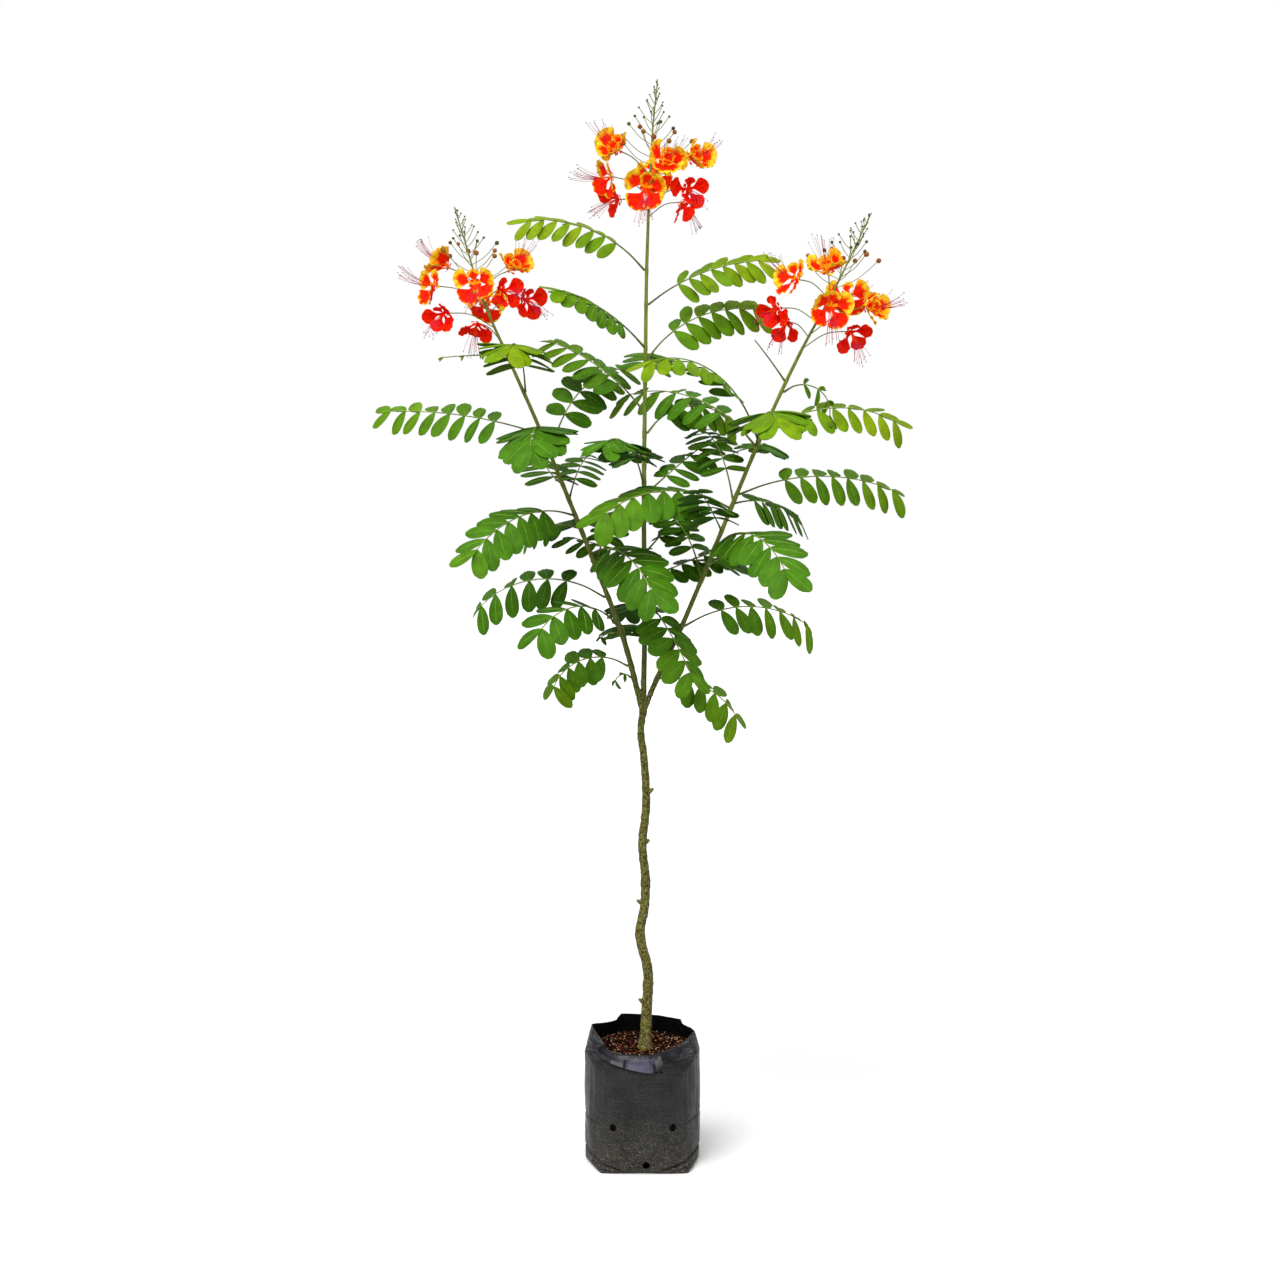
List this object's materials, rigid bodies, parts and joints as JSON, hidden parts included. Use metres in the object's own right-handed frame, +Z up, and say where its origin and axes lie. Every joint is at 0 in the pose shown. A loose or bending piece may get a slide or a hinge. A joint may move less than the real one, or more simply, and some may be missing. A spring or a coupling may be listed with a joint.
{
  "type": "peacock flower seedling in a grow bag",
  "caption": "Young peacock flower with a slender crooked trunk, upright stems, feathery leaves and heads of red and yellow flowers, standing in a soft black grow bag.",
  "frame": {"origin": "centre of the grow bag's flat underside", "axes": "+Z up, along the trunk; +X to the right and -Y towards the viewer, as the picture shows the plant"},
  "size_m": [0.6962, 0.4026, 1.3861],
  "materials": {
    "bag": "satin black plastic film",
    "mix": "rough granular potting mix",
    "bark": "smooth young bark with pale specks",
    "stem": "smooth green stem",
    "leaf": "soft sheen",
    "bloom": "thin petals"
  },
  "bodies": {
    "root": {"bough_left": "stem", "bough_middle": "stem", "bough_right": "stem", "flower_head_left": "bloom", "flower_head_middle": "bloom", "flower_head_right": "bloom", "grow_bag": "bag", "leaf_left_01": "leaf", "leaf_left_02": "leaf", "leaf_left_03": "leaf", "leaf_left_04": "leaf", "leaf_left_05": "leaf", "leaf_left_06": "leaf", "leaf_left_07": "leaf", "leaf_left_08": "leaf", "leaf_left_09": "leaf", "leaf_left_10": "leaf", "leaf_left_11": "leaf", "leaf_left_12": "leaf", "leaf_left_13": "leaf", "leaf_left_14": "leaf", "leaf_left_15": "leaf", "leaf_left_16": "leaf", "leaf_left_17": "leaf", "leaf_left_18": "leaf", "leaf_middle_01": "leaf", "leaf_middle_02": "leaf", "leaf_middle_03": "leaf", "leaf_middle_04": "leaf", "leaf_middle_05": "leaf", "leaf_middle_06": "leaf", "leaf_middle_07": "leaf", "leaf_middle_08": "leaf", "leaf_middle_09": "leaf", "leaf_middle_10": "leaf", "leaf_middle_11": "leaf", "leaf_middle_12": "leaf", "leaf_middle_13": "leaf", "leaf_middle_14": "leaf", "leaf_middle_15": "leaf", "leaf_right_01": "leaf", "leaf_right_02": "leaf", "leaf_right_03": "leaf", "leaf_right_04": "leaf", "leaf_right_05": "leaf", "leaf_right_06": "leaf", "leaf_right_07": "leaf", "leaf_right_08": "leaf", "leaf_right_09": "leaf", "leaf_right_10": "leaf", "leaf_right_11": "leaf", "leaf_right_12": "leaf", "leaf_right_13": "leaf", "leaf_right_14": "leaf", "leaf_right_15": "leaf", "leaf_right_16": "leaf", "leaf_right_17": "leaf", "potting_mix": "mix", "trunk": "bark"}
  },
  "joints": []
}
